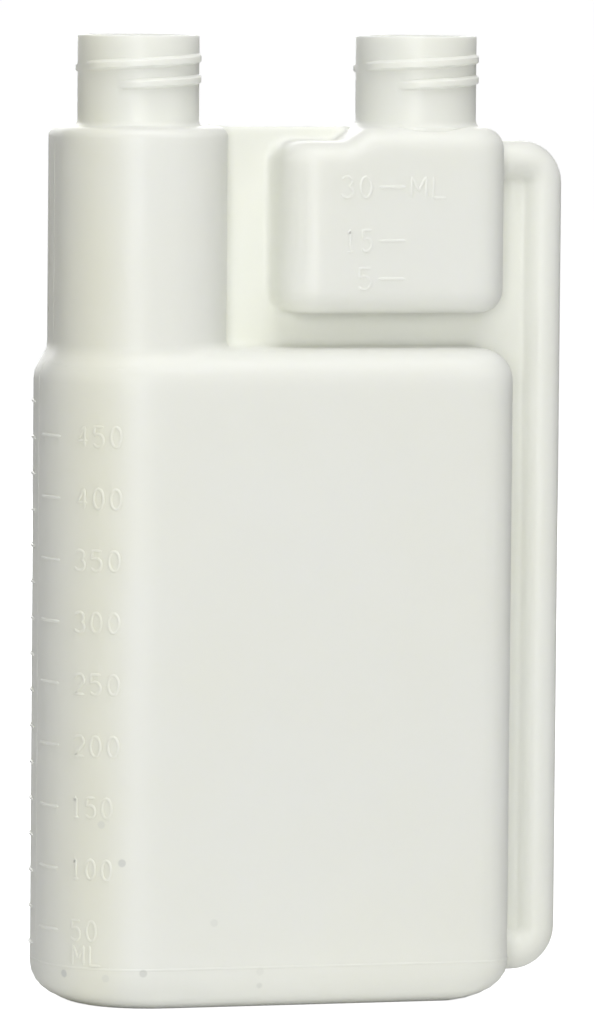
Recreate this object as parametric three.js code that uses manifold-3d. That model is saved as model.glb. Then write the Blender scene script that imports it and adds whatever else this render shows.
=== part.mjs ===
// Twin-neck dosing bottle, blow-moulded in one piece, in millimetres.
// Seen from the front, X runs to the right, Z runs up and the front faces -Y.
// The main chamber stands below, its filler column rises at the left, and the
// small dosing chamber sits at the upper right. A transfer tube down the right
// edge joins the two. Thin webs, both walls fused, fill the gaps between them.
import * as THREE from 'three';
import Module from 'manifold-3d';
import { mergeVertices } from 'three/addons/utils/BufferGeometryUtils.js';

// Overall sizes
const overallHeight = 198.5;
const bodyWidth = 96.5;
const bodyDepth = 45;
const bodyHeight = 134.6;
const bodyLeftRadius = 20.5;
const bodyRightRadius = 8;
const bodyShoulderRadius = 6.6;
const bodyBaseRadius = 7.6;
const bodyBaseLeftRun = 10.5;
const bodyBaseRightRun = 15;
const wall = 1.1;

// Filler column of the main chamber
const columnWidth = 35.2;
const columnDepth = 39;
const columnInset = 2.95;
const columnCornerRadius = 16.5;
const columnShoulderRadius = 2.2;

// Dosing chamber and the raised shoulder that carries its neck
const chamberWidth = 47.8;
const chamberDepth = 31;
const chamberHeight = 35.2;
const chamberClearOfBody = 7.2;
const chamberInset = 0.3;
const chamberCornerRadius = 7.5;
const chamberEdgeRadius = 4.6;
const raisedShoulderWidth = 33.6;
const raisedShoulderRadius = 4;
const raisedShoulderStep = 0.25;

// Necks and their screw threads
const neckSpacing = 59.3;
const neckRootDiameter = 24.9;
const neckHeight = 18.6;
const neckBoreDiameter = 21.4;
const neckBaseFillet = 0.9;
const neckBaseSink = 0.1;
const rimRound = 0.4;
const threadPitch = 4.23;
const threadHeight = 1.1;
const threadBaseWidth = 2.7;
const threadCrestWidth = 1;
const threadTopBelowRim = 4.6;
const threadTopAngle = 343;
const threadStartAngle = -130;
const threadEndAngle = 490;
const threadFadeAngle = 30;
const threadSink = 0.1;
const threadRootDepth = 0.4;

// Transfer tube, the web that carries it, and the fused webs in general
const tubeDiameter = 8;
const tubeWall = 1;
const tubeWebWidth = 6.9;
const tubeTopBelowChamberTop = 0.1;
const tubeBottomHeight = 4.3;
const tubeTopBend = 4.7;
const tubeBottomBend = 5.2;
const tubeReach = 6;
const webThickness = 1.8;
const webBelowNeckLine = 0.1;

// Pinch-off groove that crosses the base along the parting line
const pinchGrooveWidth = 9;
const pinchGrooveFloor = 4;
const pinchGrooveDepth = 1.6;

// Raised scale marks: millilitres at the left front, fluid ounces at the left back
const markHeight = 0.35;
const markThickness = 0.75;
const millilitreStep = 12.6;
const millilitreMarks = 9;
const millilitreFirst = 16.3;
const ounceStep = 7.43;
const ounceMarks = 16;
const ounceFirst = 12;
const markAngleStart = 1.5;
const markAngleMiddle = 13;
const markAngleEnd = 25;

// How finely round forms are cut into flats
const cornerFlats = 10;
const smallCornerFlats = 5;
const edgeFlats = 5;
const neckFlats = 48;
const tubeFlats = 16;
const bendFlats = 6;
const threadStepAngle = 9;
const overshoot = 2;
const leastDetail = 0.005;
const sameVertex = 0.0001;

// Places worked out from the sizes above
const overallWidth = markHeight + bodyWidth + tubeWebWidth + tubeDiameter;
const bodyLeft = markHeight - overallWidth / 2;
const bodyRight = bodyLeft + bodyWidth;
const neckLine = overallHeight - neckHeight;
const columnLeft = bodyLeft + columnInset;
const mainNeckX = columnLeft + columnWidth / 2;
const dosingNeckX = mainNeckX + neckSpacing;
const chamberRight = bodyRight - chamberInset;
const chamberLeft = chamberRight - chamberWidth;
const chamberBottom = bodyHeight + chamberClearOfBody;
const chamberTop = chamberBottom + chamberHeight;
const tubeRadius = tubeDiameter / 2;
const tubeX = overallWidth / 2 - tubeRadius;
const tubeTop = chamberTop - tubeTopBelowChamberTop;
const webTop = neckLine - webBelowNeckLine;

const wasm = await Module();
wasm.setup();

// Turns a closed three.js geometry into a solid that can be joined and cut
function toSolid(geometry) {
  const bare = geometry.clone();
  bare.deleteAttribute('normal');
  bare.deleteAttribute('uv');
  const merged = mergeVertices(bare, sameVertex);
  const vertProperties = new Float32Array(merged.attributes.position.array);
  const triVerts = new Uint32Array(merged.index.array);
  return new wasm.Manifold(new wasm.Mesh({ numProp: 3, vertProperties, triVerts }));
}

// Turns a solid back into a three.js geometry
function toGeometry(solid) {
  const mesh = solid.getMesh();
  const geometry = new THREE.BufferGeometry();
  geometry.setAttribute('position', new THREE.BufferAttribute(new Float32Array(mesh.vertProperties), 3));
  geometry.setIndex(new THREE.BufferAttribute(new Uint32Array(mesh.triVerts), 1));
  geometry.computeVertexNormals();
  return geometry;
}

function joinAll(solids) {
  return solids.reduce((joined, solid) => joined.add(solid));
}

// Skins a stack of rings with the same number of points, and closes both ends with a fan
function loftRings(rings) {
  const count = rings[0].length;
  const positions = rings.flat().flatMap((point) => [point.x, point.y, point.z]);
  const index = [];
  for (let ring = 0; ring < rings.length - 1; ring += 1) {
    for (let i = 0; i < count; i += 1) {
      const a = ring * count + i;
      const b = ring * count + (i + 1) % count;
      index.push(a, b, b + count, a, b + count, a + count);
    }
  }
  const last = (rings.length - 1) * count;
  for (let i = 1; i < count - 1; i += 1) {
    index.push(0, i + 1, i);
    index.push(last, last + i, last + i + 1);
  }
  const geometry = new THREE.BufferGeometry();
  geometry.setAttribute('position', new THREE.Float32BufferAttribute(positions, 3));
  geometry.setIndex(index);
  return geometry;
}

// Plan of an upright block at one height: a rounded rectangle drawn `inset` inside its walls,
// with its left and right ends drawn in further by `leftPull` and `rightPull`
function planRing(block, inset, z, leftPull = 0, rightPull = 0) {
  const corners = [
    { side: 1, front: 1, radius: block.rightRadius, turn: 0 },
    { side: -1, front: 1, radius: block.leftRadius, turn: 90 },
    { side: -1, front: -1, radius: block.leftRadius, turn: 180 },
    { side: 1, front: -1, radius: block.rightRadius, turn: 270 },
  ];
  const ring = [];
  for (const corner of corners) {
    const flats = corner.radius > bodyRightRadius ? cornerFlats : smallCornerFlats;
    const radius = Math.max(corner.radius - inset, wall / 4);
    const wallX = corner.side > 0 ? block.right - inset - rightPull : block.left + inset + leftPull;
    const centreX = wallX - corner.side * radius;
    const centreY = corner.front * (block.depth / 2 - inset - radius);
    for (let i = 0; i <= flats; i += 1) {
      const angle = THREE.MathUtils.degToRad(corner.turn + 90 * i / flats);
      ring.push(new THREE.Vector3(
        centreX + radius * Math.cos(angle),
        centreY + radius * Math.sin(angle),
        z,
      ));
    }
  }
  return ring;
}

// Upright block with round top and bottom edges, drawn `inset` inside its skin. The bottom edge
// is a quarter of an ellipse at the two ends, where it runs further in than it rises
function roundedBlock(block, inset) {
  const bottom = block.bottom + inset;
  const top = block.top - inset;
  const bottomRadius = Math.max(block.bottomRadius - inset, wall / 2);
  const topRadius = Math.max(block.topRadius - inset, wall / 2);
  const rings = [];
  for (let i = 0; i <= edgeFlats; i += 1) {
    const angle = Math.PI / 2 * i / edgeFlats;
    const drawnIn = 1 - Math.sin(angle);
    const z = bottom + bottomRadius * (1 - Math.cos(angle));
    const leftPull = (block.bottomLeftRun - block.bottomRadius) * drawnIn;
    const rightPull = (block.bottomRightRun - block.bottomRadius) * drawnIn;
    rings.push(planRing(block, inset + bottomRadius * drawnIn, z, leftPull, rightPull));
  }
  for (let i = 0; i <= edgeFlats; i += 1) {
    const angle = Math.PI / 2 * i / edgeFlats;
    const z = top - topRadius * (1 - Math.sin(angle));
    rings.push(planRing(block, inset + topRadius * (1 - Math.cos(angle)), z));
  }
  return toSolid(loftRings(rings));
}

const mainBody = {
  left: bodyLeft,
  right: bodyRight,
  depth: bodyDepth,
  leftRadius: bodyLeftRadius,
  rightRadius: bodyRightRadius,
  bottom: 0,
  top: bodyHeight,
  bottomRadius: bodyBaseRadius,
  bottomLeftRun: bodyBaseLeftRun,
  bottomRightRun: bodyBaseRightRun,
  topRadius: bodyShoulderRadius,
};

const fillerColumn = {
  left: columnLeft,
  right: columnLeft + columnWidth,
  depth: columnDepth,
  leftRadius: columnCornerRadius,
  rightRadius: columnCornerRadius,
  bottom: bodyHeight - bodyShoulderRadius * 2,
  top: neckLine,
  bottomRadius: columnShoulderRadius,
  bottomLeftRun: columnShoulderRadius,
  bottomRightRun: columnShoulderRadius,
  topRadius: columnShoulderRadius,
};

const dosingChamber = {
  left: chamberLeft,
  right: chamberRight,
  depth: chamberDepth,
  leftRadius: chamberCornerRadius,
  rightRadius: chamberCornerRadius,
  bottom: chamberBottom,
  top: chamberTop,
  bottomRadius: chamberEdgeRadius,
  bottomLeftRun: chamberEdgeRadius,
  bottomRightRun: chamberEdgeRadius,
  topRadius: chamberEdgeRadius,
};

const raisedShoulder = {
  left: chamberRight - raisedShoulderWidth,
  right: chamberRight - raisedShoulderStep,
  depth: chamberDepth - raisedShoulderStep * 2,
  leftRadius: chamberCornerRadius,
  rightRadius: chamberCornerRadius,
  bottom: chamberTop - chamberHeight / 2,
  top: neckLine,
  bottomRadius: raisedShoulderRadius,
  bottomLeftRun: raisedShoulderRadius,
  bottomRightRun: raisedShoulderRadius,
  topRadius: raisedShoulderRadius,
};

// Neck of one outlet: a plain cylinder with a filleted foot and a rounded rim
function neckBarrel(neckX) {
  const root = neckRootDiameter / 2;
  const filletZ = neckLine - neckBaseSink + neckBaseFillet;
  const profile = new THREE.Path();
  profile.moveTo(0, neckLine - overshoot);
  profile.lineTo(root + neckBaseFillet, neckLine - overshoot);
  profile.lineTo(root + neckBaseFillet, neckLine - neckBaseSink);
  profile.absarc(root + neckBaseFillet, filletZ, neckBaseFillet, -Math.PI / 2, -Math.PI, true);
  profile.lineTo(root, overallHeight - rimRound);
  profile.absarc(root - rimRound, overallHeight - rimRound, rimRound, 0, Math.PI / 2, false);
  profile.lineTo(0, overallHeight);
  return latheSolid(profile.getPoints(2), neckX);
}

// Straight bore of one neck, run past the rim and down through the shoulder below it
function neckBore(neckX) {
  const radius = neckBoreDiameter / 2;
  const profile = [
    new THREE.Vector2(0, neckLine - columnShoulderRadius * 2),
    new THREE.Vector2(radius, neckLine - columnShoulderRadius * 2),
    new THREE.Vector2(radius, overallHeight + overshoot),
    new THREE.Vector2(0, overallHeight + overshoot),
  ];
  return latheSolid(profile, neckX);
}

function latheSolid(profile, axisX) {
  const geometry = new THREE.LatheGeometry(profile, neckFlats);
  geometry.rotateX(Math.PI / 2);
  geometry.translate(axisX, 0, 0);
  return toSolid(geometry);
}

// Right-hand thread that rises to the right on the front, and fades where it crosses
// the parting line at both sides and at its two ends
function screwThread(neckX) {
  const root = neckRootDiameter / 2;
  const steps = Math.round((threadEndAngle - threadStartAngle) / threadStepAngle);
  const topZ = overallHeight - threadTopBelowRim;
  const rings = [];
  for (let i = 0; i <= steps; i += 1) {
    const degrees = threadStartAngle + (threadEndAngle - threadStartAngle) * i / steps;
    const angle = THREE.MathUtils.degToRad(degrees);
    const crest = root + threadHeight * threadFullness(degrees);
    const z = topZ - threadPitch * (threadTopAngle - degrees) / 360;
    const section = [
      [root - threadRootDepth, threadBaseWidth / 2],
      [crest, threadCrestWidth / 2],
      [crest, -threadCrestWidth / 2],
      [root - threadRootDepth, -threadBaseWidth / 2],
    ];
    rings.push(section.map(([radius, rise]) => new THREE.Vector3(
      neckX + radius * Math.cos(angle),
      radius * Math.sin(angle),
      z + rise,
    )));
  }
  return toSolid(loftRings(rings));
}

// Share of the full thread height at one angle, a little below nothing where it has faded out
function threadFullness(degrees) {
  const phase = ((degrees % 180) + 180) % 180;
  const fromPartingLine = Math.min(phase, 180 - phase);
  const fromEnd = Math.min(degrees - threadStartAngle, threadEndAngle - degrees);
  const fade = Math.min(fromPartingLine, fromEnd) / threadFadeAngle;
  return Math.min(fade, 1) - threadSink;
}

// A route through given stations, which takes one step from each station to the next
class SteppedRoute extends THREE.Curve {
  constructor(stations) {
    super();
    this.stations = stations;
  }

  getPoint(t) {
    const place = t * (this.stations.length - 1);
    const i = Math.min(Math.floor(place), this.stations.length - 2);
    return this.stations[i].clone().lerp(this.stations[i + 1], place - i);
  }

  getUtoTmapping(u) {
    return u;
  }
}

// Stations round one bend of the tube, in the plane of the webs
function bendStations(centreX, centreZ, radius, startTurn) {
  const stations = [];
  for (let i = 0; i <= bendFlats; i += 1) {
    const angle = THREE.MathUtils.degToRad(startTurn - 90 * i / bendFlats);
    stations.push(new THREE.Vector3(centreX + radius * Math.cos(angle), 0, centreZ + radius * Math.sin(angle)));
  }
  return stations;
}

// Transfer tube: out of the dosing chamber, down the right edge, and into the foot of the main chamber
function transferTube(radius) {
  const topZ = tubeTop - tubeRadius;
  const bottomZ = tubeBottomHeight + tubeRadius;
  const stations = [
    new THREE.Vector3(chamberRight - tubeReach, 0, topZ),
    ...bendStations(tubeX - tubeTopBend, topZ - tubeTopBend, tubeTopBend, 90),
    ...bendStations(tubeX - tubeBottomBend, bottomZ + tubeBottomBend, tubeBottomBend, 0),
    new THREE.Vector3(bodyRight - tubeReach, 0, bottomZ),
  ];
  const section = new THREE.Shape();
  section.absarc(0, 0, radius, 0, Math.PI * 2, false);
  const geometry = new THREE.ExtrudeGeometry(section, {
    curveSegments: tubeFlats / 2,
    steps: stations.length - 1,
    extrudePath: new SteppedRoute(stations),
  });
  return toSolid(geometry);
}

// Upright plate in the parting plane that fills the gaps between column, chambers and tube
function fusedWeb() {
  const topZ = tubeTop - tubeRadius;
  const bottomZ = tubeBottomHeight + tubeRadius;
  const bodyJoinX = bodyRight - bodyRightRadius;
  const bodyJoinZ = bodyHeight - bodyShoulderRadius;
  const outline = new THREE.Shape();
  outline.moveTo(mainNeckX, bodyJoinZ);
  outline.lineTo(bodyJoinX, bodyJoinZ);
  outline.lineTo(bodyJoinX, bottomZ);
  outline.lineTo(tubeX, bottomZ);
  outline.lineTo(tubeX, topZ);
  outline.lineTo(dosingNeckX, topZ);
  outline.lineTo(dosingNeckX, webTop);
  outline.lineTo(mainNeckX, webTop);
  const geometry = new THREE.ExtrudeGeometry(outline, { depth: webThickness, bevelEnabled: false });
  geometry.translate(0, 0, -webThickness / 2);
  geometry.rotateX(Math.PI / 2);
  return toSolid(geometry);
}

// Groove with sloping sides along the parting line of the base, grown by `margin` all round
function pinchGroove(margin) {
  const halfMouth = pinchGrooveWidth / 2 + margin;
  const halfFloor = pinchGrooveFloor / 2 + margin;
  const floorZ = pinchGrooveDepth + margin;
  const outline = new THREE.Shape();
  outline.moveTo(-halfMouth, -overshoot);
  outline.lineTo(halfMouth, -overshoot);
  outline.lineTo(halfMouth, 0);
  outline.lineTo(halfFloor, floorZ);
  outline.lineTo(-halfFloor, floorZ);
  outline.lineTo(-halfMouth, 0);
  const length = bodyWidth + overshoot * 2;
  const geometry = new THREE.ExtrudeGeometry(outline, { depth: length, bevelEnabled: false });
  geometry.rotateX(Math.PI / 2);
  geometry.rotateZ(Math.PI / 2);
  geometry.translate(bodyLeft - overshoot, 0, 0);
  return toSolid(geometry);
}

// Slab wedge that picks one mark out of the raised skin, from the parting line round to the face
function markWedge(z, face) {
  const centreX = bodyLeft + bodyLeftRadius;
  const centreY = face * (bodyDepth / 2 - bodyLeftRadius);
  const reach = bodyLeftRadius + overshoot;
  const outline = new THREE.Shape();
  outline.moveTo(centreX, centreY);
  for (const degrees of [markAngleStart, markAngleMiddle, markAngleEnd]) {
    const angle = THREE.MathUtils.degToRad(degrees);
    outline.lineTo(centreX - reach * Math.cos(angle), centreY + face * reach * Math.sin(angle));
  }
  const geometry = new THREE.ExtrudeGeometry(outline, { depth: markThickness, bevelEnabled: false });
  geometry.translate(0, 0, z - markThickness / 2);
  return toSolid(geometry);
}

// Raised scale marks round the left edge of the main chamber
function scaleMarks() {
  const wedges = [];
  for (let i = 0; i < millilitreMarks; i += 1) {
    wedges.push(markWedge(millilitreFirst + millilitreStep * i, -1));
  }
  for (let i = 0; i < ounceMarks; i += 1) {
    wedges.push(markWedge(ounceFirst + ounceStep * i, 1));
  }
  return roundedBlock(mainBody, -markHeight).intersect(joinAll(wedges));
}

const blocks = [mainBody, fillerColumn, dosingChamber, raisedShoulder];
const neckPlaces = [mainNeckX, dosingNeckX];

function outerForm() {
  const chambers = joinAll(blocks.map((block) => roundedBlock(block, 0)));
  const necks = joinAll(neckPlaces.flatMap((x) => [neckBarrel(x), screwThread(x)]));
  return joinAll([chambers, necks, transferTube(tubeRadius), fusedWeb(), scaleMarks()]).subtract(pinchGroove(0));
}

function innerForm() {
  const chambers = joinAll(blocks.map((block) => roundedBlock(block, wall)));
  const bores = joinAll(neckPlaces.map(neckBore));
  return chambers.subtract(pinchGroove(wall)).add(bores).add(transferTube(tubeRadius - tubeWall));
}

const milkyPlastic = new THREE.MeshStandardMaterial({ color: 0xe3e5dd, roughness: 0.42, metalness: 0 });
const bottleSolid = outerForm().subtract(innerForm()).simplify(leastDetail);
const bottle = new THREE.Mesh(toGeometry(bottleSolid), milkyPlastic);
bottle.name = 'bottle';

const model = new THREE.Group();
model.add(bottle);
export default model;
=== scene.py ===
"""Looks of the twin-neck dosing bottle, in metres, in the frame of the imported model.

The bottle is one blow-moulded piece. Its blocks, tube, webs, necks and threads are worked
out here as finer surfaces than the solid model's, joined, blended where they meet, hollowed,
and dressed with the raised scales and moulding lines. X runs to the right, -Y is the front.
"""
import math

import bmesh
import bpy
import numpy as np
from mathutils import Matrix, Vector


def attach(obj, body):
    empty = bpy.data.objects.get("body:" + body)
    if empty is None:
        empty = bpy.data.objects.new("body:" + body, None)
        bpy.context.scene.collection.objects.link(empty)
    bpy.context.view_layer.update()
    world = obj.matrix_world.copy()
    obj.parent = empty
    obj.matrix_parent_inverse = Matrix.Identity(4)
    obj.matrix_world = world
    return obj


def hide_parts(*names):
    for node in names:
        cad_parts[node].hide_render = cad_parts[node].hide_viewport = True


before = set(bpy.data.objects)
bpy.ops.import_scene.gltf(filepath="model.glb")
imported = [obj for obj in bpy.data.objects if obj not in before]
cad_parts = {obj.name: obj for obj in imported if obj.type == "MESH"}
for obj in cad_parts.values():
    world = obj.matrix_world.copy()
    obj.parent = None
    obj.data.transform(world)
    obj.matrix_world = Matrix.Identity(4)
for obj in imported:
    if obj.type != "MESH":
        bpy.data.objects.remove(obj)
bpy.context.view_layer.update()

# ---- Sizes of the bottle, in metres ----
OVERALL_HEIGHT = 0.1985
BODY_WIDTH = 0.0965
BODY_DEPTH = 0.045
BODY_HEIGHT = 0.1346
BODY_LEFT_RADIUS = 0.0205
BODY_RIGHT_RADIUS = 0.008
BODY_SHOULDER_RADIUS = 0.0066
BODY_BASE_RADIUS = 0.0076
BODY_BASE_LEFT_RUN = 0.0105
BODY_BASE_RIGHT_RUN = 0.015
WALL = 0.0011

COLUMN_WIDTH = 0.0352
COLUMN_DEPTH = 0.039
COLUMN_INSET = 0.00295
COLUMN_CORNER_RADIUS = 0.0165
COLUMN_SHOULDER_RADIUS = 0.0022

CHAMBER_WIDTH = 0.0478
CHAMBER_DEPTH = 0.031
CHAMBER_HEIGHT = 0.0352
CHAMBER_CLEAR_OF_BODY = 0.0072
CHAMBER_INSET = 0.0003
CHAMBER_CORNER_RADIUS = 0.0075
CHAMBER_EDGE_RADIUS = 0.0046
RAISED_SHOULDER_WIDTH = 0.0336
RAISED_SHOULDER_RAMP = 0.006

NECK_SPACING = 0.0593
NECK_ROOT_DIAMETER = 0.0249
NECK_HEIGHT = 0.0186
NECK_BORE_DIAMETER = 0.0214
NECK_BASE_FILLET = 0.0012
RIM_ROUND = 0.0004
THREAD_PITCH = 0.00423
THREAD_HEIGHT = 0.0011
THREAD_BASE_WIDTH = 0.0027
THREAD_CREST_WIDTH = 0.001
THREAD_TOP_BELOW_RIM = 0.0046
THREAD_TOP_ANGLE = 343.0
THREAD_START_ANGLE = -130.0
THREAD_END_ANGLE = 490.0
THREAD_FADE_ANGLE = 30.0
THREAD_CLEAR_ANGLE = 9.0
THREAD_SINK = 0.1
THREAD_ROOT_DEPTH = 0.0004

TUBE_DIAMETER = 0.008
TUBE_WALL = 0.001
TUBE_WEB_WIDTH = 0.0069
TUBE_TOP_BELOW_CHAMBER_TOP = 0.0001
TUBE_BOTTOM_HEIGHT = 0.0043
TUBE_TOP_BEND = 0.0047
TUBE_BOTTOM_BEND = 0.0052
TUBE_REACH = 0.006
WEB_THICKNESS = 0.0018
WEB_EDGE_ROUND = 0.0006
WEB_BELOW_NECK_LINE = 0.0001

PINCH_GROOVE_WIDTH = 0.009
PINCH_GROOVE_FLOOR = 0.004
PINCH_GROOVE_DEPTH = 0.0016

MARK_HEIGHT = 0.00035
MARK_THICKNESS = 0.00075
MILLILITRE_STEP = 0.0126
MILLILITRE_MARKS = 9
MILLILITRE_FIRST = 0.0163
OUNCE_STEP = 0.00743
OUNCE_MARKS = 16
OUNCE_FIRST = 0.012
OUNCE_TALL_SHARE = 0.8

# Numerals, read along the skin from the parting line
MILLILITRE_PER_MARK = 50
TICK_START = 0.0005
TICK_END = 0.0091
NUMERAL_START = 0.0128
NUMERAL_LENGTH = 0.0108
NARROW_START = 0.0124
NARROW_LENGTH = 0.0098
UPPER_START = 0.0133
UPPER_LENGTH = 0.0105
NUMERAL_TALL = 0.0048
NUMERAL_RISE = 0.0002
UNIT_LENGTH = 0.0075
UNIT_MIDDLE = 0.0115
SIGN_GAP = 0.22
BEAD_STEP = 0.0005
BEAD_PROUD = 0.00015
BEAD_WIDTH = 0.0007
TICK_PROUD = 0.0002
STROKE_LAYERS = (0, 1, 1, 2)
DOSE_MARKS = (("30", 0.1678, 0.0036), ("15", 0.1568, 0.0046), ("5", 0.149, 0.0074))
DOSE_RIGHT = 0.0109
DOSE_DASH = (0.0116, 0.0181)
DOSE_UNIT = (0.0186, 0.0271)
DOSE_TALL = 0.0051
DOSE_STROKE = 0.0007
DOSE_PROUD = 0.00018
BASE_RING_HEIGHT = 0.0088
LINE_WIDTH = 0.0006
LINE_PROUD = 0.00009
LINE_SHOULDER_TURN = math.radians(52)
BODY_LINE_STEPS = 39
COLUMN_LINE_POINTS = 20

# Width of the soft blends where the forms meet
BLEND_COLUMN = 0.002
BLEND_WEB = 0.0016
BLEND_TUBE = 0.0009
BLEND_GROOVE = 0.0009

# Grid steps
STEP_COARSE = 0.0028
STEP_MEDIUM = 0.0018
STEP_FINE = 0.0009
OVERSHOOT = 0.002
TINY = 1e-7
FAR = 1.0
MERGE_DISTANCE = 1e-6
SHARP_ANGLE = math.radians(35)
REFINE_PASSES = 5
NECK_FLATS = 96
TUBE_FLATS = 32
TUBE_BORE_FLATS = 24
THREAD_STEPS = 180
THREAD_ROWS = 11
LIFT_REPEATS = 12

# ---- Places worked out from the sizes ----
OVERALL_WIDTH = MARK_HEIGHT + BODY_WIDTH + TUBE_WEB_WIDTH + TUBE_DIAMETER
BODY_LEFT = MARK_HEIGHT - OVERALL_WIDTH / 2
BODY_RIGHT = BODY_LEFT + BODY_WIDTH
NECK_LINE = OVERALL_HEIGHT - NECK_HEIGHT
COLUMN_LEFT = BODY_LEFT + COLUMN_INSET
MAIN_NECK_X = COLUMN_LEFT + COLUMN_WIDTH / 2
DOSING_NECK_X = MAIN_NECK_X + NECK_SPACING
CHAMBER_RIGHT = BODY_RIGHT - CHAMBER_INSET
CHAMBER_LEFT = CHAMBER_RIGHT - CHAMBER_WIDTH
CHAMBER_BOTTOM = BODY_HEIGHT + CHAMBER_CLEAR_OF_BODY
CHAMBER_TOP = CHAMBER_BOTTOM + CHAMBER_HEIGHT
RAISED_LEFT = CHAMBER_RIGHT - RAISED_SHOULDER_WIDTH
TUBE_RADIUS = TUBE_DIAMETER / 2
TUBE_X = OVERALL_WIDTH / 2 - TUBE_RADIUS
TUBE_TOP_Z = CHAMBER_TOP - TUBE_TOP_BELOW_CHAMBER_TOP - TUBE_RADIUS
TUBE_BOTTOM_Z = TUBE_BOTTOM_HEIGHT + TUBE_RADIUS
WEB_TOP = NECK_LINE - WEB_BELOW_NECK_LINE


class Block:
    """An upright block with a rounded plan and rounded top and bottom edges."""

    def __init__(self, left, right, depth, left_radius, right_radius, bottom, top,
                 bottom_radius, top_radius, left_run=None, right_run=None):
        """Keeps the sizes. A run is how far the base edge reaches in at that side."""
        self.left = left
        self.right = right
        self.depth = depth
        self.left_radius = left_radius
        self.right_radius = right_radius
        self.bottom = bottom
        self.top = top
        self.bottom_radius = bottom_radius
        self.top_radius = top_radius
        self.left_run = bottom_radius if left_run is None else left_run
        self.right_run = bottom_radius if right_run is None else right_run


main_body = Block(
    BODY_LEFT, BODY_RIGHT, BODY_DEPTH, BODY_LEFT_RADIUS, BODY_RIGHT_RADIUS, 0.0, BODY_HEIGHT,
    BODY_BASE_RADIUS, BODY_SHOULDER_RADIUS, BODY_BASE_LEFT_RUN, BODY_BASE_RIGHT_RUN)
filler_column = Block(
    COLUMN_LEFT, COLUMN_LEFT + COLUMN_WIDTH, COLUMN_DEPTH, COLUMN_CORNER_RADIUS,
    COLUMN_CORNER_RADIUS, BODY_HEIGHT - BODY_SHOULDER_RADIUS * 2, NECK_LINE,
    COLUMN_SHOULDER_RADIUS, COLUMN_SHOULDER_RADIUS)
dosing_chamber = Block(
    CHAMBER_LEFT, CHAMBER_RIGHT, CHAMBER_DEPTH, CHAMBER_CORNER_RADIUS, CHAMBER_CORNER_RADIUS,
    CHAMBER_BOTTOM, CHAMBER_TOP, CHAMBER_EDGE_RADIUS, CHAMBER_EDGE_RADIUS)
upper_web = Block(
    MAIN_NECK_X, DOSING_NECK_X, WEB_THICKNESS, WEB_THICKNESS / 2, WEB_THICKNESS / 2,
    BODY_HEIGHT - BODY_SHOULDER_RADIUS, WEB_TOP, WEB_EDGE_ROUND, WEB_EDGE_ROUND)
side_web = Block(
    DOSING_NECK_X - OVERSHOOT * 2, TUBE_X, WEB_THICKNESS, WEB_THICKNESS / 2, WEB_THICKNESS / 2,
    TUBE_BOTTOM_Z, TUBE_TOP_Z, WEB_EDGE_ROUND, WEB_EDGE_ROUND)


def ease(t):
    """Smooth step: 3t^2 - 2t^3, held at 0 below 0 and at 1 above 1."""
    t = np.clip(t, 0.0, 1.0)
    return t * t * (3.0 - 2.0 * t)


def shoulder_rise(x, z):
    """How far the dosing chamber's top is lifted at a place: it climbs to the neck line over
    a short ramp in x, and the lift grows from nothing at mid height to all of it at the edge."""
    across = ease((x - RAISED_LEFT + RAISED_SHOULDER_RAMP / 3) / RAISED_SHOULDER_RAMP)
    up = ease((z - CHAMBER_TOP + CHAMBER_HEIGHT / 2) / (CHAMBER_HEIGHT / 2 - CHAMBER_EDGE_RADIUS))
    return (NECK_LINE - CHAMBER_TOP) * across * up


# ---- Distance forms, used for the blends ----
def rounded(a, b):
    """Distance from a square corner, from the distances to its two sides: the larger one inside,
    and the straight length to the corner outside."""
    return np.minimum(np.maximum(a, b), 0.0) + np.hypot(np.maximum(a, 0.0), np.maximum(b, 0.0))


def block_distance(block, p):
    """Distance from a rounded block: the plan's rounded-rectangle distance and the height's
    distance are joined by a quarter round of the edge radius."""
    x = p[:, 0]
    y = p[:, 1]
    z = p[:, 2]
    upper = z > (block.bottom + block.top) / 2
    edge = np.where(upper, block.top_radius, block.bottom_radius)
    rise = np.clip(1.0 - (z - block.bottom) / (block.bottom_radius + TINY), 0.0, 1.0)
    drawn = 1.0 - np.sqrt(1.0 - rise * rise)
    left = block.left + (block.left_run - block.bottom_radius) * drawn
    right = block.right - (block.right_run - block.bottom_radius) * drawn
    middle = (left + right) / 2
    corner = np.where(x < middle, block.left_radius, block.right_radius)
    qx = np.abs(x - middle) - (right - left) / 2 + corner
    qy = np.abs(y) - block.depth / 2 + corner
    plan = rounded(qx, qy) - corner
    tall = np.maximum(block.bottom - z, z - block.top)
    return rounded(plan + edge, tall + edge) - edge


def chamber_distance(p):
    """Distance from the dosing chamber: its block, measured after the lift is taken off."""
    flat = p.copy()
    flat[:, 2] -= shoulder_rise(p[:, 0], p[:, 2])
    return block_distance(dosing_chamber, flat)


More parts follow.
